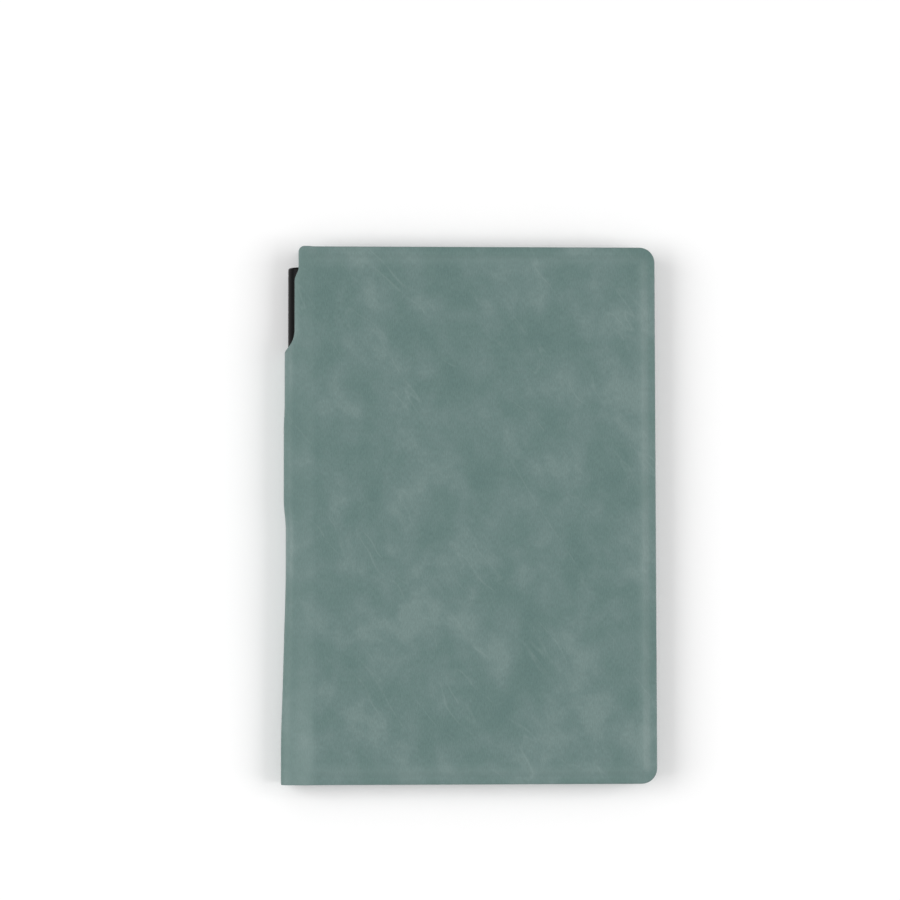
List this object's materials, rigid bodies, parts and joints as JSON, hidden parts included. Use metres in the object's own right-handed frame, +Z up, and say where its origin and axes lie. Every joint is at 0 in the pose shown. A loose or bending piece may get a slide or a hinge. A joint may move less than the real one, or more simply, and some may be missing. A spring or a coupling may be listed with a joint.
{
  "type": "whiteboard notebook",
  "caption": "Soft-cover A5 notebook whose two stiff covers hold glossy whiteboards inside, with a capped marker in the spine and a folded eraser cloth.",
  "frame": {"origin": "centre of the closed notebook's footprint, on the surface that it lies on", "axes": "+X from the spine to the fore-edge, +Y from the bottom edge to the top edge, +Z up through the closed notebook"},
  "size_m": [0.149, 0.215, 0.0144],
  "materials": {
    "cover_leather": "mottled satin",
    "cover_board": "raw",
    "black_lining": "matte fine grain",
    "whiteboard": "gloss",
    "black_elastic": "ribbed weave",
    "black_plastic": "gloss",
    "white_plastic": "satin",
    "nib_felt": "felt",
    "ink_fibre": "fibre",
    "microfibre": "soft pile"
  },
  "bodies": {
    "back_cover": {"back_cover_leather": "cover_leather", "back_cover_board": "cover_board", "back_cover_lining": "black_lining", "back_whiteboard": "whiteboard"},
    "spine": {"spine_leather": "cover_leather", "spine_lining": "black_lining", "pen_loop": "black_elastic"},
    "front_cover": {"front_cover_leather": "cover_leather", "front_cover_board": "cover_board", "front_cover_lining": "black_lining", "front_whiteboard": "whiteboard"},
    "marker": {"marker_nose": "black_plastic", "marker_nib": "nib_felt", "marker_ink_reservoir": "ink_fibre", "marker_barrel": "white_plastic", "marker_end_plug": "black_plastic"},
    "marker_cap": {"marker_cap": "black_plastic", "marker_cap_seal": "white_plastic"},
    "eraser_cloth": {"eraser_cloth": "microfibre"}
  },
  "joints": [
    {"name": "spine_fold", "type": "hinge", "parent": "back_cover", "child": "spine", "pos_m": [-0.07364, 0, 0.00086], "axis": [0, -1, 0], "range_deg": [0, 90]},
    {"name": "cover_fold", "type": "hinge", "parent": "spine", "child": "front_cover", "pos_m": [-0.07364, 0, 0.01354], "axis": [0, -1, 0], "range_deg": [0, 90]},
    {"name": "marker_slide", "type": "slide", "parent": "spine", "child": "marker", "axis": [0, 1, 0], "range_m": [0, 0.13]},
    {"name": "cap_slide", "type": "slide", "parent": "marker", "child": "marker_cap", "axis": [0, 1, 0], "range_m": [0, 0.04]},
    {"name": "cloth_slide", "type": "slide", "parent": "back_cover", "child": "eraser_cloth", "axis": [1, 0, 0], "range_m": [0, 0.13]}
  ],
  "couplings": [
    {"joint": "cover_fold", "follows": "spine_fold", "ratio": 1}
  ]
}
